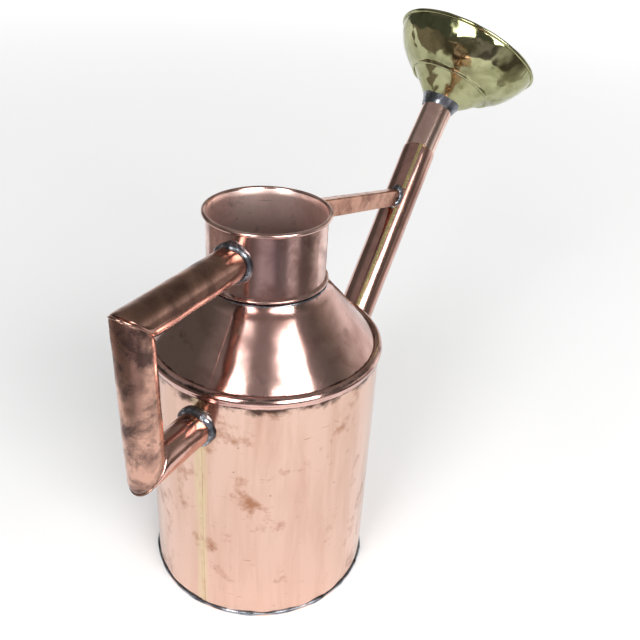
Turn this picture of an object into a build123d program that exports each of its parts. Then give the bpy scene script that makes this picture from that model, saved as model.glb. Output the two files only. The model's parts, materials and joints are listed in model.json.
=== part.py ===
from build123d import *
import math
import os

# Copper watering can with a lift-out brass rose. Millimetres, +Z up, +X towards the spout,
# origin at the centre of the base.

# Can body
BODY_RADIUS = 90.0
SHEET = 1.0
BASE_EDGE = 0.8
BASE_SHEET = 1.2
BASE_FILLET = 1.4
LAP_BOTTOM = 207.6
BEAD_MIDDLE = 212.4
BEAD_HALF_HEIGHT = 2.6
BEAD_REACH = 1.2
BEAD_CROWN = 1.0
CREASE_RADIUS = 86.0
CREASE_HEIGHT = 214.8
LAP_SOLDER = 0.9

# Neck
NECK_RADIUS = 44.6
NECK_FOOT = 257.0
CONE_TOP = 263.6
CONE_FLARE_RADIUS = 50.1
CONE_FLARE_HEIGHT = 257.0
CONE_FLARE_MIDDLE = (46.5, 260.4)
NECK_BEAD_HEIGHT = 266.7
NECK_BEAD_HALF = 2.3
NECK_BEAD_REACH = 2.4
RIM_HEIGHT = 317.4
RIM_RADIUS = 45.9
RIM_ROLL = 1.7
RIM_WIRE = 0.7
NECK_SOLDER_REACH = 3.8

# Handle: three straight tubes that meet in mitres
HANDLE_RADIUS = 13.1
HANDLE_WALL = 0.9
GRIP_HEIGHT = 293.5
KNEE = Vector(-148.5, 0, 293.2)
LOW_KNEE = Vector(-145.0, 0, 182.2)
BRAZE_HALF = 0.25
BRAZE_PROUD = 0.25
HANDLE_SOLDER = 2.4

# Spout
SPOUT_RADIUS = 16.4
SPOUT_WALL = 0.95
SPOUT_FOOT = Vector(BODY_RADIUS, 0, 72.4)
SPOUT_ELEVATION = 46.8
SPOUT_LENGTH = 296.0
SPOUT_SOLDER = 2.4

# Stay: a folded channel from the neck to the spout
STAY_WIDTH = 10.0
STAY_DEPTH = 15.0
STAY_SLOPE = 13.96
STAY_TOP_AT_NECK = 310.0
STAY_UNDERSIDE = -1
STAY_SOLDER = 2.0

# Brazed seams, each a thin strip of brass on the face of the sheet
SEAM_PROUD = 0.2
SEAM_WIDTH = 3.0
BODY_SEAM_ANGLE = 181.5
SHOULDER_SEAM_ANGLE = 184.0
NECK_SEAM_ANGLE = 180.0
SPOUT_SEAM_ANGLE = 20.0
SEAM_START = 0.03
SEAM_STOP = 0.97

# Rose: a stem that plugs into the spout, and a brass bowl soldered to it a little askew
STEM_RADIUS = 15.4
STEM_WALL = 0.9
PLUG_LENGTH = 35.0
BEND_ABOVE_MOUTH = 1.5
STEM_ELEVATION = 45.3
STEM_SIDEWAYS = -2.4
STEM_LENGTH = 54.0
ROSE_ELEVATION = 53.5
ROSE_SIDEWAYS = -17.0
ROSE_SHEET = 0.8
THROAT_RADIUS = 15.0
THROAT_HEIGHT = -1.0
RIDGE_RADIUS = 41.0
RIDGE_HEIGHT = 22.5
RIDGE_LAP = 3.0
RIDGE_STEP = 0.7
BOWL_MIDDLE = (62.6, 38.0)
BOWL_RADIUS = 72.2
BOWL_HEIGHT = 58.6
BOWL_EDGE = 1.2
FACE_RADIUS = 72.6
ROSE_BEAD = 1.8
COLLAR_FOOT = -8.0
COLLAR_TOP = 3.5
COLLAR_RADIUS = 20.0
HOLE_RADIUS = 1.1
HOLE_RINGS = 7
RING_PITCH = 9.2
HOLES_PER_RING = 6

# Long enough to reach past any part of the can
FAR = 400.0


def heading(elevation, sideways=0.0):
    """Unit vector that rises by elevation from +X and is turned sideways towards +Y, in degrees."""
    rise, turn = math.radians(elevation), math.radians(sideways)
    return Vector(math.cos(rise) * math.cos(turn), math.cos(rise) * math.sin(turn), math.sin(rise))


SPOUT_AXIS = heading(SPOUT_ELEVATION)
SPOUT_UPPER_SIDE = heading(SPOUT_ELEVATION + 90)
MOUTH = SPOUT_FOOT + SPOUT_AXIS * SPOUT_LENGTH
PLUG_END = MOUTH - SPOUT_AXIS * PLUG_LENGTH
BEND = MOUTH + SPOUT_AXIS * BEND_ABOVE_MOUTH
STEM_AXIS = heading(STEM_ELEVATION, STEM_SIDEWAYS)
STEM_END = BEND + STEM_AXIS * STEM_LENGTH
ROSE_FRAME = Plane(origin=STEM_END, z_dir=heading(ROSE_ELEVATION, ROSE_SIDEWAYS))

GRIP_START = Vector(0, 0, GRIP_HEIGHT)
STUB_END = Vector(0, 0, LOW_KNEE.Z)
HANDLE_RUNS = {"grip": (GRIP_START, KNEE), "leg": (KNEE, LOW_KNEE), "stub": (LOW_KNEE, STUB_END)}

STAY_FALL = math.tan(math.radians(STAY_SLOPE))
SPOUT_RISE = math.tan(math.radians(SPOUT_ELEVATION))


# Shared shapes


def rod(start, end, radius):
    span = end - start
    return Solid.make_cylinder(radius, span.length, Plane(origin=start, z_dir=span))


def upright(radius, bottom=0.0, top=FAR):
    return rod(Vector(0, 0, bottom), Vector(0, 0, top), radius)


def spin(outline):
    """Turn a face drawn in the XZ plane once round Z."""
    return revolve(outline, axis=Axis.Z)


def xz_polygon(*corners):
    return Plane.XZ * make_face(Polyline(*corners, close=True))


def xz_sheet(path, thickness):
    """Section of one sheet whose middle line is the path, drawn in the XZ plane."""
    return Plane.XZ * trace(path, line_width=thickness)


def mitre_plane(before, corner, after):
    """Plane through a corner that bisects the turn there and faces along the run."""
    into = (corner - before).normalized()
    out = (after - corner).normalized()
    return Plane(origin=corner, z_dir=into + out)


def mitred_rod(before, corner, after, radius):
    """Two rods of one radius joined in a mitre at the corner."""
    plane = mitre_plane(before, corner, after)
    overrun = radius * 2
    into = (corner - before).normalized()
    out = (after - corner).normalized()
    lower = rod(before, corner + into * overrun, radius).split(plane, keep=Keep.BOTTOM)
    upper = rod(corner - out * overrun, after, radius).split(plane, keep=Keep.TOP)
    return lower + upper


def seam_strip(outline, radius, angle):
    """Outline turned round Z through the seam's width, centred on an angle."""
    sweep_angle = math.degrees(SEAM_WIDTH / radius)
    strip = revolve(outline, axis=Axis.Z, revolution_arc=sweep_angle)
    return Rot(0, 0, angle - sweep_angle / 2) * strip


def saddle(host, grown_host, branch, grown_branch):
    """Band of solder in the corner where a branch meets its host."""
    return (grown_host & grown_branch) - host - branch


# Can body


def base_plate():
    return upright(BODY_RADIUS + BASE_EDGE, 0, BASE_SHEET)


def base_solder():
    foot = (BODY_RADIUS, BASE_SHEET)
    edge = (BODY_RADIUS + BASE_EDGE, BASE_SHEET)
    top = (BODY_RADIUS, BASE_SHEET + BASE_FILLET)
    return spin(xz_polygon(foot, edge, top))


def body_wall():
    shell = upright(BODY_RADIUS, BASE_SHEET, BEAD_MIDDLE) - upright(BODY_RADIUS - SHEET)
    return shell - spout_rod(SPOUT_RADIUS - SPOUT_WALL)


def body_seam():
    outer = BODY_RADIUS + SEAM_PROUD
    bottom, top = BASE_SHEET + BASE_FILLET, LAP_BOTTOM - LAP_SOLDER
    outline = xz_polygon((BODY_RADIUS, bottom), (outer, bottom), (outer, top), (BODY_RADIUS, top))
    seam = seam_strip(outline, BODY_RADIUS, BODY_SEAM_ANGLE)
    return seam - handle_rod("stub", HANDLE_RADIUS + HANDLE_SOLDER)


def cone_line():
    return Line((CREASE_RADIUS, CREASE_HEIGHT), (CONE_FLARE_RADIUS, CONE_FLARE_HEIGHT))


def shoulder():
    """One sheet: a lap over the wall, a half-round bead, a crease, the cone and a flare to the neck."""
    lap_radius = BODY_RADIUS + SHEET / 2
    bead_bottom, bead_top = BEAD_MIDDLE - BEAD_HALF_HEIGHT, BEAD_MIDDLE + BEAD_HALF_HEIGHT
    crown = ((lap_radius + CREASE_RADIUS) / 2, bead_top + BEAD_CROWN)
    lap = Line((lap_radius, LAP_BOTTOM), (lap_radius, bead_bottom))
    bead = ThreePointArc(lap @ 1, (lap_radius + BEAD_REACH, BEAD_MIDDLE), (lap_radius, bead_top))
    back = ThreePointArc(bead @ 1, crown, (CREASE_RADIUS, CREASE_HEIGHT))
    cone = cone_line()
    flare = ThreePointArc(cone @ 1, CONE_FLARE_MIDDLE, (NECK_RADIUS + SHEET / 2, CONE_TOP))
    return spin(xz_sheet(lap + bead + back + cone + flare, SHEET)) - upright(NECK_RADIUS)


def shoulder_solder():
    top = (BODY_RADIUS, LAP_BOTTOM)
    edge = (BODY_RADIUS + LAP_SOLDER, LAP_BOTTOM)
    foot = (BODY_RADIUS, LAP_BOTTOM - LAP_SOLDER)
    return spin(xz_polygon(top, edge, foot))


def shoulder_seam():
    cone = cone_line()
    across = Vector(0, 0, 1).cross(cone % 0).normalized() * -(SHEET + SEAM_PROUD) / 2
    outline = xz_sheet(Line(cone @ SEAM_START + across, cone @ SEAM_STOP + across), SEAM_PROUD)
    return seam_strip(outline, (CREASE_RADIUS + CONE_FLARE_RADIUS) / 2, SHOULDER_SEAM_ANGLE)


# Neck


def neck_collar():
    """Straight collar with a swaged bead near its foot and its top rolled over a wire."""
    middle = NECK_RADIUS - SHEET / 2
    bead_bottom, bead_top = NECK_BEAD_HEIGHT - NECK_BEAD_HALF, NECK_BEAD_HEIGHT + NECK_BEAD_HALF
    foot = Line((middle, NECK_FOOT), (middle, bead_bottom))
    bead = ThreePointArc(foot @ 1, (middle + NECK_BEAD_REACH, NECK_BEAD_HEIGHT), (middle, bead_top))
    wall = Line(bead @ 1, (middle, RIM_HEIGHT))
    return spin(xz_sheet(foot + bead + wall, SHEET)) + rim_ring(RIM_ROLL) - rim_ring(RIM_WIRE)


def rim_ring(thickness):
    return Solid.make_torus(RIM_RADIUS, thickness, Plane(origin=(0, 0, RIM_HEIGHT)))


def rim_wire():
    return rim_ring(RIM_WIRE)


def neck_solder():
    top = (NECK_RADIUS, NECK_BEAD_HEIGHT - NECK_BEAD_HALF / 2)
    edge = (NECK_RADIUS + NECK_SOLDER_REACH, CONE_FLARE_MIDDLE[1])
    foot = (NECK_RADIUS, CONE_FLARE_HEIGHT)
    return spin(xz_polygon(top, edge, foot)) - shoulder() - neck_collar() - upright(NECK_RADIUS)


def neck_seam():
    outer = NECK_RADIUS + SEAM_PROUD
    bottom, top = NECK_BEAD_HEIGHT + NECK_BEAD_HALF + SHEET, RIM_HEIGHT - RIM_ROLL
    outline = xz_polygon((NECK_RADIUS, bottom), (outer, bottom), (outer, top), (NECK_RADIUS, top))
    seam = seam_strip(outline, NECK_RADIUS, NECK_SEAM_ANGLE)
    return seam - handle_rod("grip", HANDLE_RADIUS + HANDLE_SOLDER)


# Handle


def handle_rod(name, radius):
    """One run of the handle, carried past both of its ends."""
    start, end = HANDLE_RUNS[name]
    overrun = (end - start).normalized() * HANDLE_RADIUS * 2
    return rod(start - overrun, end + overrun, radius)


def handle_tube(name):
    return handle_rod(name, HANDLE_RADIUS) - handle_rod(name, HANDLE_RADIUS - HANDLE_WALL)


UPPER_MITRE = mitre_plane(GRIP_START, KNEE, LOW_KNEE)
LOWER_MITRE = mitre_plane(KNEE, LOW_KNEE, STUB_END)


def handle_grip():
    cut = handle_tube("grip").split(UPPER_MITRE.offset(-BRAZE_HALF), keep=Keep.BOTTOM)
    return cut - upright(NECK_RADIUS)


def handle_leg():
    cut = handle_tube("leg").split(UPPER_MITRE.offset(BRAZE_HALF), keep=Keep.TOP)
    return cut.split(LOWER_MITRE.offset(-BRAZE_HALF), keep=Keep.BOTTOM)


def handle_stub():
    cut = handle_tube("stub").split(LOWER_MITRE.offset(BRAZE_HALF), keep=Keep.TOP)
    return cut - upright(BODY_RADIUS)


def mitre_braze(first, second, plane):
    """Layer of brass that fills a mitre and stands a little proud of both tubes."""
    halves = []
    for name, gap, keep in ((first, -BRAZE_HALF, Keep.BOTTOM), (second, BRAZE_HALF, Keep.TOP)):
        hollow = handle_rod(name, HANDLE_RADIUS - HANDLE_WALL)
        ring = handle_rod(name, HANDLE_RADIUS + BRAZE_PROUD) - hollow
        own_side = ring.split(plane, keep=keep)
        other_way = Keep.TOP if keep == Keep.BOTTOM else Keep.BOTTOM
        halves.append(own_side.split(plane.offset(gap), keep=other_way))
    return halves[0] + halves[1]


def knee_braze_upper():
    return mitre_braze("grip", "leg", UPPER_MITRE)


def knee_braze_lower():
    return mitre_braze("leg", "stub", LOWER_MITRE)


def grip_solder():
    tube, grown_tube = handle_rod("grip", HANDLE_RADIUS), handle_rod("grip", HANDLE_RADIUS + HANDLE_SOLDER)
    return saddle(upright(NECK_RADIUS), upright(NECK_RADIUS + HANDLE_SOLDER), tube, grown_tube)


def stub_solder():
    tube, grown_tube = handle_rod("stub", HANDLE_RADIUS), handle_rod("stub", HANDLE_RADIUS + HANDLE_SOLDER)
    return saddle(upright(BODY_RADIUS), upright(BODY_RADIUS + HANDLE_SOLDER), tube, grown_tube)


# Spout


def spout_rod(radius):
    """The spout's line from inside the can to the mouth."""
    return rod(SPOUT_FOOT - SPOUT_AXIS * SPOUT_RADIUS * 2, MOUTH, radius)


def spout_tube():
    return spout_rod(SPOUT_RADIUS) - spout_rod(SPOUT_RADIUS - SPOUT_WALL) - upright(BODY_RADIUS)


def spout_solder():
    tube, grown_tube = spout_rod(SPOUT_RADIUS), spout_rod(SPOUT_RADIUS + SPOUT_SOLDER)
    return saddle(upright(BODY_RADIUS), upright(BODY_RADIUS + SPOUT_SOLDER), tube, grown_tube)


def spout_seam():
    outer = SPOUT_RADIUS + SEAM_PROUD
    outline = xz_polygon((SPOUT_RADIUS, 0), (outer, 0), (outer, SPOUT_LENGTH), (SPOUT_RADIUS, SPOUT_LENGTH))
    strip = seam_strip(outline, SPOUT_RADIUS, SPOUT_SEAM_ANGLE)
    frame = Plane(origin=SPOUT_FOOT, x_dir=SPOUT_UPPER_SIDE, z_dir=SPOUT_AXIS)
    return frame * strip - upright(BODY_RADIUS + SPOUT_SOLDER) - stay_block(STAY_SOLDER)


# Stay


STAY_START = Vector(0, 0, STAY_TOP_AT_NECK + NECK_RADIUS * STAY_FALL - STAY_DEPTH / 2)
STAY_MEET = (STAY_START.Z - SPOUT_FOOT.Z + SPOUT_FOOT.X * SPOUT_RISE) / (STAY_FALL + SPOUT_RISE)
STAY_END = Vector(STAY_MEET, 0, STAY_START.Z - STAY_MEET * STAY_FALL)
STAY_SECTION = Plane(origin=STAY_START, x_dir=(0, 1, 0), z_dir=STAY_END - STAY_START)


def stay_block(grow=0.0):
    """Solid outline of the stay, from the neck's axis to the spout's."""
    outline = STAY_SECTION * Rectangle(STAY_WIDTH + 2 * grow, STAY_DEPTH + 2 * grow)
    return extrude(outline, (STAY_END - STAY_START).length)


def stay_bar():
    """Channel folded from one strip, open underneath."""
    hollow = STAY_SECTION * Pos(0, STAY_UNDERSIDE * SHEET) * Rectangle(STAY_WIDTH - 2 * SHEET, STAY_DEPTH)
    channel = stay_block() - extrude(hollow, (STAY_END - STAY_START).length)
    return channel - upright(NECK_RADIUS) - spout_rod(SPOUT_RADIUS)


def stay_neck_solder():
    neck, grown_neck = upright(NECK_RADIUS), upright(NECK_RADIUS + STAY_SOLDER)
    return saddle(neck, grown_neck, stay_block(), stay_block(STAY_SOLDER))


def stay_spout_solder():
    tube, grown_tube = spout_rod(SPOUT_RADIUS), spout_rod(SPOUT_RADIUS + STAY_SOLDER)
    return saddle(tube, grown_tube, stay_block(), stay_block(STAY_SOLDER))


# Rose


def stem_rod(radius):
    """Plug, bend and stem as one solid rod."""
    return mitred_rod(PLUG_END, BEND, STEM_END, radius)


def rose_stem():
    return stem_rod(STEM_RADIUS) - stem_rod(STEM_RADIUS - STEM_WALL)


def cone_path():
    """Middle line of the lower cone, carried a little way up inside the bowl."""
    rise = Vector(RIDGE_RADIUS - THROAT_RADIUS, RIDGE_HEIGHT - THROAT_HEIGHT).normalized()
    ridge = Vector(RIDGE_RADIUS, RIDGE_HEIGHT)
    return Line((THROAT_RADIUS, THROAT_HEIGHT), ridge + rise * RIDGE_LAP)


def cone_spin():
    return ROSE_FRAME * spin(xz_sheet(cone_path(), ROSE_SHEET))


def rose_cone():
    return cone_spin() - stem_rod(STEM_RADIUS)


def rose_bowl():
    """Bowl that laps outside the cone at the ridge and ends in a short straight edge."""
    step = Vector(RIDGE_HEIGHT - THROAT_HEIGHT, THROAT_RADIUS - RIDGE_RADIUS).normalized() * RIDGE_STEP
    start = Vector(RIDGE_RADIUS, RIDGE_HEIGHT) + step
    bowl = ThreePointArc(start, BOWL_MIDDLE, (BOWL_RADIUS, BOWL_HEIGHT))
    edge = Line(bowl @ 1, (BOWL_RADIUS, BOWL_HEIGHT + BOWL_EDGE))
    return ROSE_FRAME * spin(xz_sheet(bowl + edge, ROSE_SHEET)) - cone_spin()


def rose_face():
    """Flat plate with rings of holes, one hole in the middle."""
    plate = Circle(FACE_RADIUS) - Circle(HOLE_RADIUS)
    for ring in range(1, HOLE_RINGS + 1):
        plate -= PolarLocations(ring * RING_PITCH, ring * HOLES_PER_RING) * Circle(HOLE_RADIUS)
    return ROSE_FRAME * Pos(0, 0, BOWL_HEIGHT + BOWL_EDGE) * extrude(plate, ROSE_SHEET)


def rose_rim():
    bead_height = BOWL_HEIGHT + BOWL_EDGE
    bead = ROSE_FRAME * Solid.make_torus(FACE_RADIUS, ROSE_BEAD, Plane(origin=(0, 0, bead_height)))
    return bead - rose_bowl() - rose_face()


def rose_solder():
    """Flared collar of solder between the stem and the cone."""
    foot = (STEM_RADIUS - STEM_WALL, COLLAR_FOOT)
    skirt = (STEM_RADIUS + STEM_WALL, COLLAR_FOOT)
    edge = (COLLAR_RADIUS, COLLAR_TOP)
    top = (STEM_RADIUS - STEM_WALL, COLLAR_TOP)
    return ROSE_FRAME * spin(xz_polygon(foot, skirt, edge, top)) - stem_rod(STEM_RADIUS) - rose_cone()


PARTS = [
    base_plate,
    base_solder,
    body_wall,
    body_seam,
    shoulder,
    shoulder_solder,
    shoulder_seam,
    neck_collar,
    rim_wire,
    neck_solder,
    neck_seam,
    handle_grip,
    handle_leg,
    handle_stub,
    knee_braze_upper,
    knee_braze_lower,
    grip_solder,
    stub_solder,
    spout_tube,
    spout_solder,
    spout_seam,
    stay_bar,
    stay_neck_solder,
    stay_spout_solder,
    rose_stem,
    rose_solder,
    rose_cone,
    rose_bowl,
    rose_rim,
    rose_face,
]

os.makedirs("parts", exist_ok=True)
for make in PARTS:
    export_step(make(), f"parts/{make.__name__}.step")
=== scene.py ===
import json
import math
import bpy
from mathutils import Euler, Matrix, Vector, noise


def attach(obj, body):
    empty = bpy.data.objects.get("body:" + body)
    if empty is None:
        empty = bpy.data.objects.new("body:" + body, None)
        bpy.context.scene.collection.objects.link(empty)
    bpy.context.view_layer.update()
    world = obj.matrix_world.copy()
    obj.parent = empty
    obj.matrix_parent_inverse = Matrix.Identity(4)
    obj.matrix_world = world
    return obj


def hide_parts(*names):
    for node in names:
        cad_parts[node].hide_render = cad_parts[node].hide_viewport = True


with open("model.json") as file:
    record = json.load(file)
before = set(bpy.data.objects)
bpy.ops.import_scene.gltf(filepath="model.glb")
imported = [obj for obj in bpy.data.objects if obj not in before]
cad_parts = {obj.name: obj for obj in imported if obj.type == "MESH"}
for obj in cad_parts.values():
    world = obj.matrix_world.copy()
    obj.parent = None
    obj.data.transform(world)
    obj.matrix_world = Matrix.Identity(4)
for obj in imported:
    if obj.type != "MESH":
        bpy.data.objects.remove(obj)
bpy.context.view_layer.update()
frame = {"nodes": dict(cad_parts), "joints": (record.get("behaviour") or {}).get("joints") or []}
print("frame loaded,", len(frame["nodes"]), "nodes")


# where the camera stands, where it looks and how long its lens is
cameraSet = {
    "place": (-0.4522, -0.2783, 0.5329),  # metres
    "heading": 27.02,  # degrees from +X towards +Y
    "tiltDown": 29.79,
    "roll": 3.57,
    "lens": 44.41,  # mm, on a 36 mm sensor
    "clip": (0.01, 100),
}


def makeCamera():
    data = bpy.data.cameras.new("camera")
    data.lens = cameraSet["lens"]
    data.clip_start, data.clip_end = cameraSet["clip"]
    camera = bpy.data.objects.new("camera", data)
    bpy.context.scene.collection.objects.link(camera)
    camera.location = cameraSet["place"]
    tilt, turn = math.radians(90 - cameraSet["tiltDown"]), math.radians(cameraSet["heading"] - 90)
    level = Euler((tilt, 0, turn)).to_matrix()
    rolled = level @ Matrix.Rotation(math.radians(cameraSet["roll"]), 3, "Z")
    camera.rotation_euler = rolled.to_euler()
    bpy.context.scene.camera = camera


makeCamera()
print("camera set")


# the can's own sizes in metres, as the frame has them
can = {
    "bodyRadius": 0.0900,
    "sheet": 0.0010,
    "tubeSheet": 0.0009,
    "bodyFoot": 0.0012,
    "neckRadius": 0.0446,
    "gripHeight": 0.2935,
    "knee": Vector((-0.1485, 0, 0.2932)),
    "lowKnee": Vector((-0.1450, 0, 0.1822)),
    "handleRadius": 0.0131,
    "spoutFoot": Vector((0.0900, 0, 0.0724)),
    "spoutRadius": 0.0164,
    "spoutLength": 0.2960,
    "mouthGap": 0.0015,  # from the spout's mouth to the bend of the stem
    "stemRadius": 0.0154,
    "stemAxis": (45.3, -2.4),  # elevation and sideways turn, degrees
    "stemLength": 0.0540,
    "roseAxis": (53.5, -17.0),
    "plugLength": 0.0350,
}


def heading(elevation, sideways=0.0):
    # unit vector from an elevation and a sideways turn in degrees
    rise, turn = math.radians(elevation), math.radians(sideways)
    return Vector((math.cos(rise) * math.cos(turn), math.cos(rise) * math.sin(turn), math.sin(rise)))


middle = Vector((0, 0, 0))
upAxis = Vector((0, 0, 1))
spoutAxis = Vector(frame["joints"][0]["axis"]).normalized()
mouth = can["spoutFoot"] + spoutAxis * can["spoutLength"]
bend = mouth + spoutAxis * can["mouthGap"]
stemAxis = heading(*can["stemAxis"])
stemEnd = bend + stemAxis * can["stemLength"]
roseAxis = heading(*can["roseAxis"])


def deselectAll():
    if bpy.context.mode != "OBJECT":
        bpy.ops.object.mode_set(mode="OBJECT")
    bpy.ops.object.select_all(action="DESELECT")


def pick(piece):
    deselectAll()
    piece.select_set(True)
    bpy.context.view_layer.objects.active = piece


def arc(centre, radius, start, stop, count):
    # points of an arc in the profile plane, angles in degrees from outwards to upwards
    points = []
    for step in range(count + 1):
        angle = math.radians(start + (stop - start) * step / count)
        points.append((centre[0] + radius * math.cos(angle), centre[1] + radius * math.sin(angle)))
    return points


def arcThrough(first, between, last, count):
    # points of the arc through three points of a profile
    (ax, ay), (bx, by), (cx, cy) = first, between, last
    turn = 2 * (ax * (by - cy) + bx * (cy - ay) + cx * (ay - by))
    a, b, c = ax**2 + ay**2, bx**2 + by**2, cx**2 + cy**2
    x = (a * (by - cy) + b * (cy - ay) + c * (ay - by)) / turn
    y = (a * (cx - bx) + b * (ax - cx) + c * (bx - ax)) / turn
    start = math.degrees(math.atan2(ay - y, ax - x))
    stop = math.degrees(math.atan2(cy - y, cx - x))
    return arc((x, y), math.dist((x, y), first), start, stop, count)


def swage(radius, sizes, count=8):
    # a half-round bead pressed out of a wall of this radius
    low, rise = sizes["beadMiddle"] - sizes["beadHalf"], 2 * sizes["beadHalf"]
    parts = [step / count for step in range(count + 1)]
    return [(radius + sizes["beadReach"] * math.sin(math.pi * part), low + rise * part) for part in parts]


def walk(profile, longest):
    # the same profile with rows no further apart than longest
    rows = [profile[0]]
    for old, new in zip(profile, profile[1:]):
        count = max(1, math.ceil(math.dist(old, new) / longest))
        for step in range(1, count + 1):
            part = step / count
            rows.append((old[0] + (new[0] - old[0]) * part, old[1] + (new[1] - old[1]) * part))
    return rows


def turnProfile(name, profile, steps):
    # a ring at the first point, extruded and resized through the others
    deselectAll()
    radius, height = profile[0]
    bpy.ops.mesh.primitive_circle_add(vertices=steps, radius=radius, location=(0, 0, height))
    piece = bpy.context.object
    piece.name = name
    bpy.ops.object.transform_apply(location=True, rotation=False, scale=False)
    bpy.ops.object.mode_set(mode="EDIT")
    bpy.ops.mesh.select_all(action="SELECT")
    for (oldRadius, oldHeight), (newRadius, newHeight) in zip(profile, profile[1:]):
        rise = {"value": (0, 0, newHeight - oldHeight)}
        bpy.ops.mesh.extrude_edges_move(TRANSFORM_OT_translate=rise)
        grow = newRadius / oldRadius
        bpy.ops.transform.resize(value=(grow, grow, 1), center_override=(0, 0, newHeight))
    bpy.ops.object.mode_set(mode="OBJECT")
    return piece


def closeUp(piece):
    # doubles merged and normals turned outwards
    pick(piece)
    bpy.ops.object.mode_set(mode="EDIT")
    bpy.ops.mesh.select_all(action="SELECT")
    bpy.ops.mesh.remove_doubles(threshold=1e-6)
    bpy.ops.mesh.normals_make_consistent(inside=False)
    bpy.ops.object.mode_set(mode="OBJECT")


def reshape(piece, move):
    # every vertex goes where move sends it
    for vertex in piece.data.vertices:
        vertex.co = move(vertex.co)
    piece.data.update()


def unevenly(piece, size, depth):
    # hammer and handling marks of a size and depth in metres
    pick(piece)
    texture = bpy.data.textures.new(piece.name + "Marks", "CLOUDS")
    texture.noise_scale = size
    marks = piece.modifiers.new("marks", "DISPLACE")
    marks.texture = texture
    marks.texture_coords = "LOCAL"
    marks.mid_level = 0.5
    marks.strength = depth
    bpy.ops.object.modifier_apply(modifier=marks.name)


def thicken(piece, thickness, offset=-1):
    # a wall inside the surface, or half each side of it when the offset is 0
    pick(piece)
    wall = piece.modifiers.new("wall", "SOLIDIFY")
    wall.thickness = thickness
    wall.offset = offset
    wall.use_even_offset = True
    bpy.ops.object.modifier_apply(modifier=wall.name)


def finishPiece(piece, body, nodes, material, angle=35):
    pick(piece)
    bpy.ops.object.shade_smooth_by_angle(angle=math.radians(angle))
    piece.data.materials.clear()
    piece.data.materials.append(material)
    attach(piece, body)
    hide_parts(*nodes)


def near(value, centre, reach):
    # one at the centre, fading to nothing at the reach
    return max(0, 1 - abs(value - centre) / reach)


def markGrime(piece, bands):
    # how dirty each point is, from nothing to one, for the metal to read
    grime = piece.data.attributes.new("grime", "FLOAT", "POINT")
    for vertex, entry in zip(piece.data.vertices, grime.data):
        dirt = sum(most * near(vertex.co.z, height, reach) for height, reach, most in bands)
        entry.value = min(max(dirt, 0), 1)


def standUp(origin, axis):
    # matrix that takes +Z to the axis and +X as near to up as it can be, or to +X for an upright axis
    outwards = upAxis if abs(axis.z) < 0.9 else Vector((1, 0, 0))
    side = axis.cross(outwards).normalized()
    front = side.cross(axis).normalized()
    turn = Matrix((front, side, axis)).transposed().to_4x4()
    return Matrix.Translation(origin) @ turn


def meet(point, along, cut):
    # distance along a line to a cut, which is a plane as (point, normal)
    # or one side of a drum as (point, axis, radius, side)
    if len(cut) == 2:
        return (cut[0] - point).dot(cut[1]) / along.dot(cut[1])
    origin, axis, radius, side = cut
    gap = point - origin
    gap -= axis * gap.dot(axis)
    run = along - axis * along.dot(axis)
    a, b, c = run.dot(run), 2 * gap.dot(run), gap.dot(gap) - radius**2
    root = math.sqrt(max(b * b - 4 * a * c, 0))
    return (-b + side * root) / (2 * a)


edgeEase = [(0, 0.0017), (0.0006, 0.0009), (0.0015, 0.0003), (0.0030, 0)]  # how far along, how far in


def makeTube(name, start, axis, radius, startCut, endCut, longest=0.004, steps=72):
    # a tube whose two ends are cut to a plane, with the edge eased, or coped to a drum
    length = meet(start, axis, endCut)
    eased = [(radius - drop, place) for place, drop in edgeEase[:-1]]
    flush = edgeEase[-1][0]
    head, tail = [(radius, 0)], [(radius, length)]
    if len(startCut) == 2:
        head = eased
    if len(endCut) == 2:
        tail = [(narrow, length - place) for narrow, place in reversed(eased)]
    rows = walk([(radius, flush), (radius, length - flush)], longest)
    piece = turnProfile(name, head + rows + tail, steps)
    place = standUp(start, axis)

    def lay(co):
        rim = place @ Vector((co.x, co.y, 0))
        low, high = meet(rim, axis, startCut), meet(rim, axis, endCut)
        return rim + axis * (low + (high - low) * co.z / length)

    reshape(piece, lay)
    return piece


def ringOn(name, start, axis, radius, cut, look):
    # a ring of solder or brass laid along the line where a tube meets a plane or a drum
    deselectAll()
    bpy.ops.mesh.primitive_torus_add(
        major_segments=look["segments"][0],
        minor_segments=look["segments"][1],
        major_radius=radius,
        minor_radius=look["bead"],
    )
    piece = bpy.context.object
    piece.name = name
    place = standUp(start, axis)

    def lay(co):
        around = Vector((co.x, co.y, 0))
        flat = around.normalized() * radius
        rim = place @ Vector((flat.x * look["tall"], flat.y, 0))
        joint = rim + axis * meet(rim, axis, cut)
        outwards = (rim - start).normalized()
        swell = 1 + look["swell"] * noise.noise(joint / look["swellSize"])
        joint -= outwards * look["inset"]
        section = outwards * (around.length - radius) * look["out"] + axis * co.z * look["along"]
        return joint + section * swell

    reshape(piece, lay)
    unevenly(piece, look["lump"], look["lumpDepth"])
    closeUp(piece)
    return piece


def colour(code):
    # sRGB hex to linear
    parts = [int(code[at : at + 2], 16) / 255 for at in (1, 3, 5)]
    linear = [part / 12.92 if part <= 0.04045 else ((part + 0.055) / 1.055) ** 2.4 for part in parts]
    return (*linear, 1.0)


def grey(value):
    return (value, value, value, 1)


def addNode(tree, kind, settings=None, links=None, stops=None, **attributes):
    # one node with its attributes, its socket values, what feeds its sockets and a ramp's stops
    node = tree.nodes.new(kind)
    for key, value in attributes.items():
        setattr(node, key, value)
    for key, value in (settings or {}).items():
        node.inputs[key].default_value = value
    for key, source in (links or {}).items():
        tree.links.new(source, node.inputs[key])
    for number, (place, shade) in enumerate(stops or []):
        elements = node.color_ramp.elements  # a ramp starts with two
        element = elements[number] if number < 2 else elements.new(place)
        element.position = place
        element.color = shade
    return node


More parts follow.
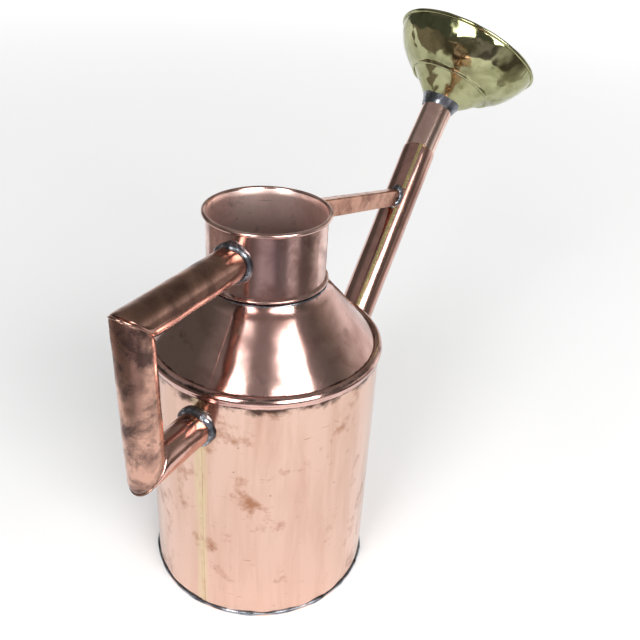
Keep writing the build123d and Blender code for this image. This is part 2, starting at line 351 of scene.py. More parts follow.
def sheetMetal(name, look):
    # worked sheet: its bright colour, then tarnish, stains, grime, braze, specks and scores laid over it
    material = bpy.data.materials.new(name)
    material.use_nodes = True
    tree = material.node_tree
    tree.nodes.clear()
    place = addNode(tree, "ShaderNodeTexCoord").outputs["Object"]
    drawn = addNode(
        tree, "ShaderNodeMapping", {"Scale": look["cloudDraw"]}, {"Vector": place}
    ).outputs["Vector"]

    clouds = addNode(
        tree,
        "ShaderNodeTexNoise",
        {"Scale": 1 / look["cloudSize"], "Detail": 6, "Roughness": 0.6, "Distortion": 0.4},
        {"Vector": drawn},
    ).outputs["Fac"]
    tarnished = addNode(
        tree,
        "ShaderNodeValToRGB",
        links={"Fac": clouds},
        stops=[(look["cloudFrom"], grey(0)), (look["cloudTo"], grey(1))],
    ).outputs["Color"]

    stains = addNode(
        tree,
        "ShaderNodeTexNoise",
        {"Scale": 1 / look["stainSize"], "Detail": 8, "Roughness": 0.65},
        {"Vector": place},
    ).outputs["Fac"]
    stained = addNode(
        tree,
        "ShaderNodeValToRGB",
        links={"Fac": stains},
        stops=[
            (look["stainFrom"], grey(0)),
            (look["stainFrom"] + look["stainFade"], grey(look["stainMost"])),
        ],
    ).outputs["Color"]

    grime = addNode(
        tree, "ShaderNodeAttribute", attribute_name="grime", attribute_type="GEOMETRY"
    ).outputs["Fac"]
    patches = addNode(
        tree,
        "ShaderNodeTexNoise",
        {"Scale": 1 / look["grimeSize"], "Detail": 5, "Roughness": 0.6},
        {"Vector": place},
    ).outputs["Fac"]
    reached = addNode(tree, "ShaderNodeMath", None, {0: grime, 1: patches}, operation="ADD").outputs[0]
    dirty = addNode(
        tree,
        "ShaderNodeValToRGB",
        links={"Fac": reached},
        stops=[(look["grimeFrom"], grey(0)), (look["grimeTo"], grey(1))],
    ).outputs["Color"]

    braze = addNode(
        tree, "ShaderNodeAttribute", attribute_name="braze", attribute_type="GEOMETRY"
    ).outputs["Fac"]
    run = addNode(
        tree, "ShaderNodeTexNoise", {"Scale": 1 / look["brazeSize"], "Detail": 5}, {"Vector": drawn}
    ).outputs["Fac"]
    spread = addNode(tree, "ShaderNodeMath", None, {0: braze, 1: run}, operation="MULTIPLY").outputs[0]
    tinted = addNode(
        tree,
        "ShaderNodeValToRGB",
        links={"Fac": spread},
        stops=[(look["brazeFrom"], grey(0)), (look["brazeTo"], grey(look["brazeMost"]))],
    ).outputs["Color"]

    dots = addNode(
        tree, "ShaderNodeTexVoronoi", {"Scale": 1 / look["speckGap"]}, {"Vector": place}
    ).outputs["Distance"]
    specked = addNode(
        tree,
        "ShaderNodeValToRGB",
        links={"Fac": dots},
        stops=[
            (look["speckSize"], grey(look["speckMost"])),
            (look["speckSize"] + look["speckFade"], grey(0)),
        ],
    ).outputs["Color"]

    slanted = addNode(
        tree,
        "ShaderNodeMapping",
        {"Rotation": look["scoreTurn"], "Scale": look["scoreScale"]},
        {"Vector": place},
    ).outputs["Vector"]
    strokes = addNode(
        tree, "ShaderNodeTexNoise", {"Scale": 1, "Detail": 1}, {"Vector": slanted}
    ).outputs["Fac"]
    scored = addNode(
        tree,
        "ShaderNodeValToRGB",
        links={"Fac": strokes},
        stops=[(look["scoreFrom"], grey(0)), (look["scoreTo"], grey(look["scoreMost"]))],
    ).outputs["Color"]

    shade = addNode(
        tree,
        "ShaderNodeMix",
        {6: colour(look["bright"]), 7: colour(look["tarnish"])},
        {0: tarnished},
        data_type="RGBA",
    ).outputs[2]
    layers = [  # each one's colour and where it lies, from the lowest up
        ("stain", stained),
        ("grime", dirty),
        ("braze", tinted),
        ("grime", specked),
        ("stain", scored),
    ]
    for key, mask in layers:
        shade = addNode(
            tree, "ShaderNodeMix", {7: colour(look[key])}, {0: mask, 6: shade}, data_type="RGBA"
        ).outputs[2]

    waves = addNode(
        tree,
        "ShaderNodeTexNoise",
        {"Scale": 1 / look["waveSize"], "Detail": 1.5, "Roughness": 0.4},
        {"Vector": place},
    ).outputs["Fac"]
    slow = addNode(
        tree, "ShaderNodeBump", {"Strength": 1.0, "Distance": look["waveDepth"]}, {"Height": waves}
    ).outputs["Normal"]
    streaks = addNode(
        tree, "ShaderNodeMapping", {"Scale": look["streakScale"]}, {"Vector": place}
    ).outputs["Vector"]
    scratches = addNode(
        tree, "ShaderNodeTexNoise", {"Scale": 1.0, "Detail": 3, "Roughness": 0.7}, {"Vector": streaks}
    ).outputs["Fac"]
    fine = addNode(
        tree,
        "ShaderNodeBump",
        {"Strength": 1.0, "Distance": look["scratchDepth"]},
        {"Height": scratches, "Normal": slow},
    ).outputs["Normal"]

    # tarnish, stains and grime are all duller than clean metal
    gloss = addNode(
        tree,
        "ShaderNodeMapRange",
        {"From Min": 0, "From Max": 1, "To Min": look["gloss"], "To Max": look["dull"]},
        {"Value": tarnished},
    ).outputs["Result"]
    spoiled = addNode(tree, "ShaderNodeMath", None, {0: stained, 1: dirty}, operation="ADD").outputs[0]
    rough = addNode(
        tree, "ShaderNodeMath", {1: look["stainDull"]}, {0: spoiled, 2: gloss}, operation="MULTIPLY_ADD"
    ).outputs[0]
    shader = addNode(
        tree,
        "ShaderNodeBsdfPrincipled",
        {"Metallic": 1.0},
        {"Base Color": shade, "Roughness": rough, "Normal": fine},
    )
    addNode(tree, "ShaderNodeOutputMaterial", None, {"Surface": shader.outputs["BSDF"]})
    return material


# copper sheet as it leaves the polishing wheel; each finish below changes what differs, sizes in metres
copperLook = {
    "bright": "#f3cdb9",
    "tarnish": "#e3b7a1",
    "cloudSize": 0.045,  # tarnish clouds
    "cloudDraw": (1, 1, 1),
    "cloudFrom": 0.42,
    "cloudTo": 0.75,
    "stain": "#a3775c",
    "stainSize": 0.020,  # dried water and finger marks
    "stainFrom": 0.60,
    "stainFade": 0.10,
    "stainMost": 0.55,
    "stainDull": 0.12,
    "grime": "#4a3a36",
    "grimeSize": 0.012,  # patches of old flux and dirt along the laps
    "grimeFrom": 0.78,
    "grimeTo": 1.0,
    "braze": "#ddd2a4",
    "brazeSize": 0.006,  # uneven edge of a brazed run
    "brazeFrom": 0.16,
    "brazeTo": 0.46,
    "brazeMost": 0.6,
    "speckGap": 0.016,  # from one dark speck to the next
    "speckSize": 0.028,  # a speck's radius and its soft edge, as parts of the gap
    "speckFade": 0.0168,
    "speckMost": 0.8,
    "scoreTurn": (0.9, 0.6, 0.9),
    "scoreScale": (90, 90, 1000),  # knocks about 11 mm long and 1 mm wide
    "scoreFrom": 0.74,
    "scoreTo": 0.78,
    "scoreMost": 0.4,
    "streakScale": (400, 400, 1500),  # polishing lines 0.7 mm apart, coarser than real so that they show
    "scratchDepth": 0.00001,
    "waveSize": 0.05,  # slow waves left by rolling and hammering
    "waveDepth": 0.0006,
    "gloss": 0.12,
    "dull": 0.2,
}

# rolled and polished copper sheet: a pale pink near-mirror, with upright streaks and brown water stains
bodyCopper = sheetMetal(
    "polishedCopperSheet",
    {
        **copperLook,
        "bright": "#e2bfaf",
        "tarnish": "#d0a894",
        "cloudSize": 0.016,
        "cloudDraw": (1, 1, 0.12),
        "stain": "#a87355",
        "stainSize": 0.028,
        "stainFrom": 0.555,
        "stainFade": 0.14,
        "stainMost": 0.9,
        "scoreMost": 0.7,
        "grime": "#5f4940",
        "grimeSize": 0.013,
    },
)

# copper cone, hand buffed: sharp highlights with darker brown clouds between them
shoulderCopper = sheetMetal(
    "buffedCopperCone",
    {
        **copperLook,
        "bright": "#e3bcb2",
        "tarnish": "#b0867d",
        "cloudTo": 0.68,
        "stain": "#7d6a5c",
        "gloss": 0.11,
        "dull": 0.18,
    },
)

# the same sheet round the collar, handled more: smaller clouds and softer highlights
neckCopper = sheetMetal(
    "buffedCopperCollar",
    {
        **copperLook,
        "bright": "#f3cfc5",
        "tarnish": "#b08a81",
        "cloudSize": 0.028,
        "cloudTo": 0.64,
        "stain": "#8a675c",
        "gloss": 0.14,
        "dull": 0.24,
    },
)

# the collar's inside, never polished: a satin pink that blurs what it reflects; its colour is painted
# paler than the outside copper, as painted light that brightens the dim inside
neckInsidePaintedLight = sheetMetal(
    "dullCopperInsidePaintedLight",
    {
        **copperLook,
        # painted light: a paler copper than the collar's outside, so the inside looks lit
        "bright": "#fde4dc",
        "tarnish": "#c2a098",
        "cloudTo": 0.66,
        "stain": "#6b5650",
        "gloss": 0.36,
        "dull": 0.5,
    },
)

# drawn copper tube, blackened by the torch and by hands: dark oxide blotches on warm copper
handleCopper = sheetMetal(
    "oxidisedCopperTube",
    {
        **copperLook,
        "bright": "#d4a794",
        "tarnish": "#6a524c",
        "cloudSize": 0.018,
        "cloudTo": 0.62,
        "stain": "#4b4342",
        "stainSize": 0.012,
        "stainFrom": 0.58,
        "gloss": 0.2,
        "dull": 0.36,
    },
)

# the same tube where the hand holds it: an even brown film, still glossy
gripCopper = sheetMetal(
    "brownedCopperTube",
    {
        **copperLook,
        "bright": "#bc9282",
        "tarnish": "#7a5e53",
        "cloudSize": 0.030,
        "cloudTo": 0.64,
        "stain": "#5b4a46",
        "gloss": 0.17,
        "dull": 0.3,
    },
)

# drawn and polished copper tube, for the spout and the handle's stub: rosy, with long soft reflections
spoutCopper = sheetMetal(
    "polishedCopperTube",
    {
        **copperLook,
        "bright": "#dcb0a3",
        "tarnish": "#a67e72",
        "stain": "#7a5a4c",
        "gloss": 0.14,
        "dull": 0.22,
    },
)

# the stem's tube, cleaned for soldering: the palest copper of the can
stemCopper = sheetMetal(
    "cleanedCopperTube",
    {
        **copperLook,
        "bright": "#fadacd",
        "tarnish": "#d2a999",
        "stain": "#8a675c",
        "gloss": 0.13,
        "dull": 0.22,
    },
)

# folded copper strip, unpolished: an orange brown that catches only wide highlights
stayCopper = sheetMetal(
    "foldedCopperStrip",
    {
        **copperLook,
        "bright": "#c7927a",
        "tarnish": "#8f5e49",
        "cloudSize": 0.014,
        "cloudTo": 0.66,
        "stain": "#6f4c3c",
        "gloss": 0.2,
        "dull": 0.32,
    },
)

# hammered and polished brass sheet: a greenish yellow mirror broken up by 18 mm waves
roseBrass = sheetMetal(
    "polishedBrassSheet",
    {
        **copperLook,
        "bright": "#b4b48b",
        "tarnish": "#7a7b50",
        "stain": "#6d6038",
        "stainSize": 0.012,
        "cloudSize": 0.02,
        "waveSize": 0.018,
        "waveDepth": 0.0008,
        "grime": "#2f3026",
        "speckGap": 0.02,
        "gloss": 0.08,
        "dull": 0.15,
    },
)

# brass run into a seam and left: a yellow line, patchy along its length
seamBrass = sheetMetal(
    "brazingBrass",
    {
        **copperLook,
        "bright": "#e0cf96",
        "tarnish": "#a9935c",
        "cloudSize": 0.008,
        "gloss": 0.2,
        "dull": 0.4,
    },
)

# brass filed flush and polished with the wall: only a little yellower than the copper round it
paleSeam = sheetMetal(
    "dressedBraze",
    {
        **copperLook,
        "bright": "#dcc6a4",
        "tarnish": "#d0a894",
        "cloudSize": 0.008,
        "gloss": 0.13,
        "dull": 0.2,
    },
)

# tin solder wiped by hand: blue-grey, dark where it oxidised and bright where it was wiped
tinSolder = sheetMetal(
    "smearedTinSolder",
    {
        **copperLook,
        "bright": "#a3a8b0",
        "tarnish": "#4a4d54",
        "cloudSize": 0.010,
        "cloudFrom": 0.4,
        "cloudTo": 0.62,
        "stain": "#5b4640",
        "stainSize": 0.010,
        "gloss": 0.2,
        "dull": 0.38,
    },
)
print("materials made")


bodySet = {
    "rim": 0.2124,
    "row": 0.006,
    "steps": 200,
    "marks": (0.07, 0.0009),  # size and depth
    "grime": [(0.2124, 0.020, 0.62), (0.0012, 0.006, 0.4)],  # height, reach, how much
    "seamAt": -0.0024,  # Y of the brazed seam on the handle's side
    "seamSpread": 0.010,
}


def makeBodyWall():
    radius, seamAt = can["bodyRadius"], bodySet["seamAt"]
    profile = walk([(radius, can["bodyFoot"]), (radius, bodySet["rim"])], bodySet["row"])
    piece = turnProfile("bodyWall", profile, bodySet["steps"])
    markGrime(piece, bodySet["grime"])
    seam = piece.data.attributes.new("braze", "FLOAT", "POINT")
    for vertex, entry in zip(piece.data.vertices, seam.data):
        entry.value = near(vertex.co.y, seamAt, bodySet["seamSpread"]) if vertex.co.x < 0 else 0
    unevenly(piece, *bodySet["marks"])
    closeUp(piece)
    thicken(piece, can["sheet"])
    finishPiece(piece, "can", ["body_wall"], bodyCopper)


shoulderSet = {
    "lapFoot": 0.2076,
    "beadMiddle": 0.2124,
    "beadHalf": 0.0026,
    "beadReach": 0.0012,
    "rollCrown": 0.001,  # how much the edge between bead and crease stands up
    "crease": (0.0860, 0.2148),
    "flareStart": (0.0501, 0.2570),
    "flareMiddle": (0.0465, 0.2604),
    "top": (0.0451, 0.2636),
    "row": 0.003,
    "steps": 160,
    "marks": (0.04, 0.0007),
    "grime": [(0.2148, 0.0016, 0.45), (0.2076, 0.0015, 0.5), (0.2636, 0.006, 0.4)],
}


def makeShoulder():
    # the lap over the wall, its bead, the rolled edge, the cone and the flare up to the collar
    sizes = shoulderSet
    lapRadius = can["bodyRadius"] + can["sheet"] / 2
    bead = swage(lapRadius, sizes)
    crease, topEdge = sizes["crease"], bead[-1][1]
    roll = []
    for step in range(1, 7):
        part = step / 6
        crown = sizes["rollCrown"] * math.sin(math.pi * part)
        rise = topEdge + (crease[1] - topEdge) * part + crown
        roll.append((lapRadius + (crease[0] - lapRadius) * part, rise))
    cone = walk([crease, sizes["flareStart"]], sizes["row"])[1:]
    profile = [(lapRadius, sizes["lapFoot"])] + bead + roll + cone + [sizes["flareMiddle"], sizes["top"]]
    piece = turnProfile("shoulderCone", profile, sizes["steps"])
    markGrime(piece, sizes["grime"])
    unevenly(piece, *sizes["marks"])
    closeUp(piece)
    thicken(piece, can["sheet"], 0)
    finishPiece(piece, "can", ["shoulder"], shoulderCopper, 50)


neckSet = {
    "foot": 0.2570,
    "beadMiddle": 0.2667,
    "beadHalf": 0.0023,
    "beadReach": 0.0024,
    "wallTop": 0.3162,
    "rollMiddle": (0.0459, 0.3174),
    "roll": 0.0017,
    "curl": (-130, 180),  # from where to where the edge is rolled, degrees
    "row": 0.004,
    "steps": 128,
    "marks": (0.03, 0.0005),
    "grime": [(0.2644, 0.003, 0.5), (0.3149, 0.003, 0.3)],
}


def makeNeck():
    # up the outside, round the rolled edge and down the inside, so the wall is closed as it is made
    sizes = neckSet
    outer, inner = can["neckRadius"], can["neckRadius"] - can["sheet"]
    foot, wallTop = sizes["foot"], sizes["wallTop"]
    outerBead, innerBead = swage(outer, sizes), swage(inner, sizes)
    beadTop = outerBead[-1][1]
    outside = [(outer, foot)] + outerBead + walk([(outer, beadTop), (outer, wallTop)], sizes["row"])[1:]
    curl = arc(sizes["rollMiddle"], sizes["roll"], *sizes["curl"], 16)
    inside = walk([(inner, wallTop), (inner, beadTop)], sizes["row"]) + innerBead[-2::-1]
    profile = outside + curl + inside + [(inner, foot), (outer, foot)]
    piece = turnProfile("neckCollar", profile, sizes["steps"])
    markGrime(piece, sizes["grime"])
    unevenly(piece, *sizes["marks"])
    closeUp(piece)
    finishPiece(piece, "can", ["neck_collar", "rim_wire"], neckCopper, 50)
    # the inside faces take the copper that is painted paler, as painted light
    piece.data.materials.append(neckInsidePaintedLight)
    for face in piece.data.polygons:
        inward = face.normal.x * face.center.x + face.normal.y * face.center.y < 0
        deep = face.center.xy.length < outer - can["sheet"] / 2
        if inward and deep and face.center.z < sizes["rollMiddle"][1]:
            face.material_index = 1


# solder run in by hand: uneven in width, smooth on its face
handSolder = {
    "segments": (180, 16),
    "bead": 0.0030,
    "tall": 1,  # how much taller than wide the ring is
    "inset": 0,  # how far it is sunk into the tube
    "out": 0.9,  # how far it spreads away from the tube, as a part of the bead
    "along": 1.35,  # and along the tube
    "swell": 0.8,  # how much its width changes, and over what length
    "swellSize": 0.012,
    "lump": 0.010,
    "lumpDepth": 0.0022,
}
mitreBraze = {
    **handSolder,
    "bead": 0.0011,
    "inset": 0.0013,
    "out": 0.8,
    "along": 1.0,
    "swell": 0.3,
    "lumpDepth": 0.0004,
}
lineSolder = {
    **handSolder,
    "bead": 0.0008,
    "along": 1.0,
    "swell": 0.9,
    "swellSize": 0.016,
    "lumpDepth": 0.0008,
}
baseSolder = {**lineSolder, "bead": 0.0012, "along": 1.3}
staySolder = {**handSolder, "bead": 0.0028, "tall": 1.45, "swell": 0.6, "swellSize": 0.008, "lump": 0.006}
rimWire = {**handSolder, "bead": 0.0018, "out": 1.0, "along": 1.0, "swell": 0.12, "lumpDepth": 0.0003}

handleSet = {
    "marks": (0.018, 0.0007),  # size and depth
}


def makeHandle():
    # three tubes, mitred at the knees and coped to the collar and the wall
    grip = Vector((0, 0, can["gripHeight"]))
    stub = Vector((0, 0, can["lowKnee"].z))
    knee, lowKnee = can["knee"], can["lowKnee"]
    out, down = (knee - grip).normalized(), (lowKnee - knee).normalized()
    back = (stub - lowKnee).normalized()
    upperMitre, lowerMitre = (knee, (out + down).normalized()), (lowKnee, (down + back).normalized())
    neckDrum = (middle, upAxis, can["neckRadius"], 1)
    bodyDrum = (middle, upAxis, can["bodyRadius"], -1)
    radius = can["handleRadius"]
    pieces = [
        (makeTube("handleGrip", grip, out, radius, neckDrum, upperMitre), "handle_grip", gripCopper),
        (makeTube("handleLeg", knee, down, radius, upperMitre, lowerMitre), "handle_leg", handleCopper),
        (makeTube("handleStub", lowKnee, back, radius, lowerMitre, bodyDrum), "handle_stub", spoutCopper),
    ]
    for piece, node, material in pieces:
        unevenly(piece, *handleSet["marks"])
        closeUp(piece)
        thicken(piece, can["tubeSheet"])
        finishPiece(piece, "can", [node], material, 50)
    joints = [
        ("gripSolder", grip, out, neckDrum, handSolder, "grip_solder", "solder", tinSolder),
        ("stubSolder", lowKnee, back, bodyDrum, handSolder, "stub_solder", "solder", tinSolder),
        ("kneeBrazeUpper", grip, out, upperMitre, mitreBraze, "knee_braze_upper", "brass", gripCopper),
        ("kneeBrazeLower", knee, down, lowerMitre, mitreBraze, "knee_braze_lower", "brass", handleCopper),
    ]
    for name, start, axis, cut, look, node, slot, material in joints:
        ring = ringOn(name, start, axis, radius, cut, look)
        finishPiece(ring, "can", [node], material, 60)


spoutSet = {
    "startInside": 0.010,  # how far behind the foot the tube's line starts
    "row": 0.008,
    "steps": 96,
    "marks": (0.03, 0.0005),
}


def makeSpout():
    bodyDrum = (middle, upAxis, can["bodyRadius"], 1)
    foot = can["spoutFoot"] - spoutAxis * spoutSet["startInside"]
    radius, row, steps = can["spoutRadius"], spoutSet["row"], spoutSet["steps"]
    piece = makeTube("spoutTube", foot, spoutAxis, radius, bodyDrum, (mouth, spoutAxis), row, steps)
    unevenly(piece, *spoutSet["marks"])
    closeUp(piece)
    thicken(piece, can["tubeSheet"])
    finishPiece(piece, "can", ["spout_tube"], spoutCopper, 50)
    ring = ringOn("spoutSolder", foot, spoutAxis, radius, bodyDrum, handSolder)
    finishPiece(ring, "can", ["spout_solder"], tinSolder, 60)


lineSet = {
    "neckSolder": (can["neckRadius"] + 0.0012, 0.2636, lineSolder, "neck_solder"),  # radius, height
    "baseSolder": (can["bodyRadius"] + 0.0003, 0.0018, baseSolder, "base_solder"),
    "lowest": 0.0002,  # how near the floor solder may come
}


def makeLineSolders():
    # the thin runs round the foot of the collar and round the base
    for name in ("neckSolder", "baseSolder"):
        radius, height, look, node = lineSet[name]
        ring = ringOn(name, middle, upAxis, radius, (Vector((0, 0, height)), upAxis), look)
        reshape(ring, lambda co: Vector((co.x, co.y, max(co.z, lineSet["lowest"]))))
        finishPiece(ring, "can", [node], tinSolder, 60)


staySet = {
    "width": 0.010,
    "depth": 0.015,
    "fold": 0.0022,
    "topAtNeck": 0.310,
    "slope": 13.96,
    "rows": 60,
    "marks": (0.015, 0.0007),
    "solderRadius": 0.0058,
}


def makeStay():
    # one strip folded into a channel, open underneath, coped to the collar and the spout
    half, fold, depth = staySet["width"] / 2, staySet["fold"], staySet["depth"]
    section = [(-half, -depth), (-half, -depth * 0.5)]
    section += arc((-half + fold, -fold), fold, 180, 90, 5)
    section += [(0, 0)] + arc((half - fold, -fold), fold, 90, 0, 5)
    section += [(half, -depth * 0.5), (half, -depth)]
    folds = len(section) - 1
    deselectAll()
    bpy.ops.mesh.primitive_grid_add(x_subdivisions=staySet["rows"], y_subdivisions=folds, size=1)
    piece = bpy.context.object
    piece.name = "stayBar"
    along = heading(-staySet["slope"])
    upwards = heading(90 - staySet["slope"])
    start = Vector((can["neckRadius"], 0, staySet["topAtNeck"]))
    neckDrum = (middle, upAxis, can["neckRadius"], 1)
    spoutDrum = (can["spoutFoot"], spoutAxis, can["spoutRadius"], -1)

    def lay(co):
        across, drop = section[round((co.y + 0.5) * folds)]
        edge = start + Vector((0, across, 0)) + upwards * drop
        low, high = meet(edge, along, neckDrum), meet(edge, along, spoutDrum)
        return edge + along * (low + (high - low) * (co.x + 0.5))

    reshape(piece, lay)
    unevenly(piece, *staySet["marks"])
    closeUp(piece)
    thicken(piece, can["sheet"])
    finishPiece(piece, "can", ["stay_bar"], stayCopper, 40)
    centre = start - upwards * depth / 2
    ring = ringOn("staySolder", centre, along, staySet["solderRadius"], spoutDrum, staySolder)
    finishPiece(ring, "can", ["stay_spout_solder"], tinSolder, 60)


roseSet = {
    "throat": (0.0150, -0.0010),  # distance from the rose's axis and height along it
    "ridge": (0.0410, 0.0225),
    "roll": 0.0019,  # rolled edge of the bowl where it laps the cone
    "bowlFoot": (0.0005, 0.0008),  # where the bowl leaves the roll
    "bowlMiddle": (0.0626, 0.0380),
    "bowlTop": (0.0722, 0.0586),
    "rim": (0.0722, 0.0598),
    "sheet": 0.0008,
    "beadRadius": 0.0726,
    "row": 0.0025,
    "steps": 160,
    "marks": [(0.028, 0.0024), (0.011, 0.0006)],
    "grime": [(0.0225, 0.002, 0.55), (0.0598, 0.004, 0.5)],
    "solder": [
        (0.0156, -0.0085),
        (0.0163, -0.0070),
        (0.0172, -0.0040),
        (0.0186, -0.0005),
        (0.0206, 0.0030),
        (0.0212, 0.0042),
        (0.0190, 0.0036),
    ],
    "solderMarks": (0.008, 0.0010),
}


def makeRose():
    # a short cone, the bowl lapped over it, the wire round its edge and the solder at its throat
    sizes = roseSet
    place = standUp(stemEnd, roseAxis)
    ridge, roll, foot = sizes["ridge"], sizes["roll"], sizes["bowlFoot"]
    cone = walk([sizes["throat"], ridge], sizes["row"])
    bowlFoot = (ridge[0] + 2 * roll + foot[0], ridge[1] + foot[1])
    bowl = arc((ridge[0] + roll, ridge[1]), roll, 180, 330, 8)
    bowl += arcThrough(bowlFoot, sizes["bowlMiddle"], sizes["bowlTop"], 24) + [sizes["rim"]]
    for name, profile, node in (("roseCone", cone, "rose_cone"), ("roseBowl", bowl, "rose_bowl")):
        piece = turnProfile(name, profile, sizes["steps"])
        markGrime(piece, sizes["grime"])
        piece.data.transform(place)
        for marks in sizes["marks"]:
            unevenly(piece, *marks)
        closeUp(piece)
        thicken(piece, sizes["sheet"])
        finishPiece(piece, "rose", [node], roseBrass, 50)
    rimMiddle = stemEnd + roseAxis * sizes["rim"][1]
    wire = ringOn("roseRim", rimMiddle, roseAxis, sizes["beadRadius"], (rimMiddle, roseAxis), rimWire)
    finishPiece(wire, "rose", ["rose_rim"], roseBrass, 60)
    collar = turnProfile("roseSolder", sizes["solder"], 96)
    collar.data.transform(place)
    unevenly(collar, *sizes["solderMarks"])
    closeUp(collar)
    finishPiece(collar, "rose", ["rose_solder"], tinSolder, 60)


stemSet = {
    "plugRow": 0.005,
    "stemRow": 0.003,
    "steps": 96,
    "marks": (0.02, 0.0005),
}


def makeStem():
    # plug, bend and stem in one tube, mitred at the bend and cut square to the rose
    start = mouth - spoutAxis * can["plugLength"]
    mitre = (bend, (spoutAxis + stemAxis).normalized())
    radius = can["stemRadius"]
    plug = can["plugLength"] + (bend - mouth).length
    total = plug + can["stemLength"]
    rows = walk([(radius, 0), (radius, plug)], stemSet["plugRow"])
    rows += walk([(radius, plug), (radius, total)], stemSet["stemRow"])[1:]
    piece = turnProfile("roseStem", rows, stemSet["steps"])
    place = standUp(start, spoutAxis)

    def lay(co):
        foot = place @ Vector((co.x, co.y, 0))
        run = meet(foot, spoutAxis, mitre)
        if co.z <= plug:
            return foot + spoutAxis * run * co.z / plug
        corner = foot + spoutAxis * run
        rise = meet(corner, stemAxis, (stemEnd, roseAxis))
        return corner + stemAxis * rise * (co.z - plug) / (total - plug)

    reshape(piece, lay)
    unevenly(piece, *stemSet["marks"])
    closeUp(piece)
    thicken(piece, can["tubeSheet"])
    finishPiece(piece, "rose", ["rose_stem"], stemCopper, 50)


makeBodyWall()
makeShoulder()
makeNeck()
makeHandle()
makeSpout()
makeLineSolders()
makeStay()
makeRose()
makeStem()

# what keeps the frame's own shape, and the metal each is made of
carried = {
    "base_plate": bodyCopper,
    "body_seam": paleSeam,
    "shoulder_solder": tinSolder,
    "shoulder_seam": shoulderCopper,
    "neck_seam": neckCopper,
    "spout_seam": seamBrass,
    "stay_neck_solder": tinSolder,
    "rose_face": roseBrass,
}
for node, material in carried.items():
    frame["nodes"][node].data.materials.clear()
    frame["nodes"][node].data.materials.append(material)
print("pieces made")


floorSet = {
    "size": 24,
    "paint": "#e7e7e7",
    "rough": 0.9,
    "shine": 0.1,
    "near": (0.4, 0.10),  # distance from the can and the glow there
    "far": (3.5, 0.62),
}


def makeFloor():
    # matt white board, lit a little more with distance, so it fades to white
    deselectAll()
    bpy.ops.mesh.primitive_plane_add(size=floorSet["size"], location=(0, 0, 0))
    floor = bpy.context.object
    floor.name = "floor"
    paint = bpy.data.materials.new("paleFloor")
    paint.use_nodes = True
    tree = paint.node_tree
    shader = tree.nodes["Principled BSDF"]
    shader.inputs["Base Color"].default_value = colour(floorSet["paint"])
    shader.inputs["Roughness"].default_value = floorSet["rough"]
    shader.inputs["Specular IOR Level"].default_value = floorSet["shine"]
    shader.inputs["Emission Color"].default_value = grey(1)
    place = addNode(tree, "ShaderNodeTexCoord").outputs["Object"]
    away = addNode(tree, "ShaderNodeVectorMath", None, {0: place}, operation="LENGTH").outputs["Value"]
    (nearBy, nearGlow), (farOff, farGlow) = floorSet["near"], floorSet["far"]
    lift = addNode(
        tree,
        "ShaderNodeMapRange",
        {"From Min": nearBy, "From Max": farOff, "To Min": nearGlow, "To Max": farGlow},
        {"Value": away},
    ).outputs["Result"]
    tree.links.new(lift, shader.inputs["Emission Strength"])
    floor.data.materials.append(paint)


surroundSet = {
    "innerRadius": 0.42,  # the white sheet under the can, as reflections see it
    "outerRadius": 18,
    "height": 0.0008,
    "from": 80,  # degrees round Z, counter-clockwise from +X
    "to": 325,
    "steps": 48,
    "tones": [  # where along it from its start to its end, and how bright
        (0.00, "#8b7e76"),
        (0.14, "#958681"),
        (0.28, "#5d5550"),
        (0.43, "#615959"),
        (0.50, "#9e959b"),
        (0.56, "#958b93"),
        (0.61, "#5d5559"),
        (0.68, "#6f696c"),
        (0.72, "#cec8cb"),
        (0.76, "#bcb5b6"),
        (0.80, "#5d5555"),
        (0.88, "#615955"),
        (1.00, "#cec8c4"),
    ],
}


def makeSurround():
    # a dark cloth round the white sheet that only polished metal sees
    deselectAll()
    bpy.ops.mesh.primitive_grid_add(x_subdivisions=surroundSet["steps"], y_subdivisions=1, size=1)
    card = bpy.context.object
    card.name = "surround"
    start, stop = math.radians(surroundSet["from"]), math.radians(surroundSet["to"])

    def lay(co):
        angle = start + (stop - start) * (co.x + 0.5)
        reach = surroundSet["innerRadius"] if co.y < 0 else surroundSet["outerRadius"]
        return Vector((reach * math.cos(angle), reach * math.sin(angle), surroundSet["height"]))

    reshape(card, lay)
    paint = bpy.data.materials.new("darkSurround")
    paint.use_nodes = True
    tree = paint.node_tree
    tree.nodes.clear()
    along = addNode(tree, "ShaderNodeUVMap", uv_map="UVMap").outputs["UV"]
    across = addNode(tree, "ShaderNodeSeparateXYZ", None, {"Vector": along}).outputs["X"]
    tones = addNode(
        tree,
        "ShaderNodeValToRGB",
        links={"Fac": across},
        stops=[(place, colour(code)) for place, code in surroundSet["tones"]],
    ).outputs["Color"]
    glow = addNode(tree, "ShaderNodeEmission", {"Strength": 1}, {"Color": tones})
    addNode(tree, "ShaderNodeOutputMaterial", None, {"Surface": glow.outputs[0]})
    card.data.materials.append(paint)
    card.visible_camera = False
    card.visible_diffuse = False
    card.visible_shadow = False
    card.visible_transmission = False


roomSet = {
    "ambient": 0.5,
    "farWay": (0, -5),  # elevation and azimuth of the side behind the can
    "farFade": (0.3, 0.75),
    "farTones": [(0.12, "#f3f1ef"), (0.42, "#959089"), (0.65, "#73736c")],  # sine of the elevation, tone
    "nearTones": [(0.50, "#595956"), (0.70, "#8b8685")],
}


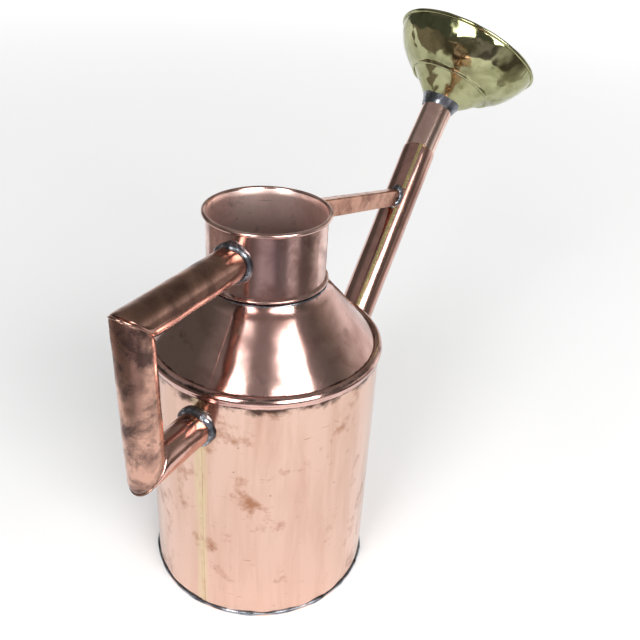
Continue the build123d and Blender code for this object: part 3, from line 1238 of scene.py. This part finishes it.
def makeRoom():
    # plain white light for the floor, and a room that only the metal's reflections see
    world = bpy.data.worlds.new("studio")
    world.use_nodes = True
    bpy.context.scene.world = world
    tree = world.node_tree
    tree.nodes.clear()
    paths = addNode(tree, "ShaderNodeLightPath")
    direction = addNode(tree, "ShaderNodeTexCoord").outputs["Generated"]
    height = addNode(tree, "ShaderNodeSeparateXYZ", None, {"Vector": direction}).outputs["Z"]
    sides = []
    for key in ("nearTones", "farTones"):
        stops = [(place, colour(code)) for place, code in roomSet[key]]
        tones = addNode(tree, "ShaderNodeValToRGB", links={"Fac": height}, stops=stops)
        sides.append(tones.outputs["Color"])
    behind = addNode(
        tree,
        "ShaderNodeVectorMath",
        {1: heading(*roomSet["farWay"])},
        {0: direction},
        operation="DOT_PRODUCT",
    ).outputs["Value"]
    facing = addNode(
        tree,
        "ShaderNodeValToRGB",
        links={"Fac": behind},
        stops=[(roomSet["farFade"][0], grey(0)), (roomSet["farFade"][1], grey(1))],
    ).outputs["Color"]
    room = addNode(
        tree, "ShaderNodeMix", None, {0: facing, 6: sides[0], 7: sides[1]}, data_type="RGBA"
    ).outputs[2]
    soft = addNode(tree, "ShaderNodeBackground", {"Color": grey(1), "Strength": roomSet["ambient"]})
    seen = addNode(tree, "ShaderNodeBackground", {"Strength": 1.0}, {"Color": room})
    both = addNode(
        tree,
        "ShaderNodeMixShader",
        None,
        {0: paths.outputs["Is Glossy Ray"], 1: soft.outputs[0], 2: seen.outputs[0]},
    )
    addNode(tree, "ShaderNodeOutputWorld", None, {"Surface": both.outputs[0]})


windows = [
    # azimuth, elevation, distance, width, height, power
    (-117, 28, 3.2, 1.92, 2.24, 105),
    (-179.5, 28, 3.2, 1.10, 2.24, 60),
]


def makeWindows():
    # two tall soft lights: the bright upright bands on the shoulder are their reflections
    for number, (azimuth, elevation, distance, width, height, power) in enumerate(windows):
        data = bpy.data.lights.new(f"window{number}", "AREA")
        data.shape = "RECTANGLE"
        data.size, data.size_y = width, height
        data.energy = power
        light = bpy.data.objects.new(f"window{number}", data)
        bpy.context.scene.collection.objects.link(light)
        light.location = heading(elevation, azimuth) * distance
        light.rotation_euler = heading(elevation, azimuth).to_track_quat("Z", "Y").to_euler()
        light.visible_camera = False


makeFloor()
makeSurround()
makeRoom()
makeWindows()
bpy.context.scene.view_settings.view_transform = "Standard"
print("studio lit")
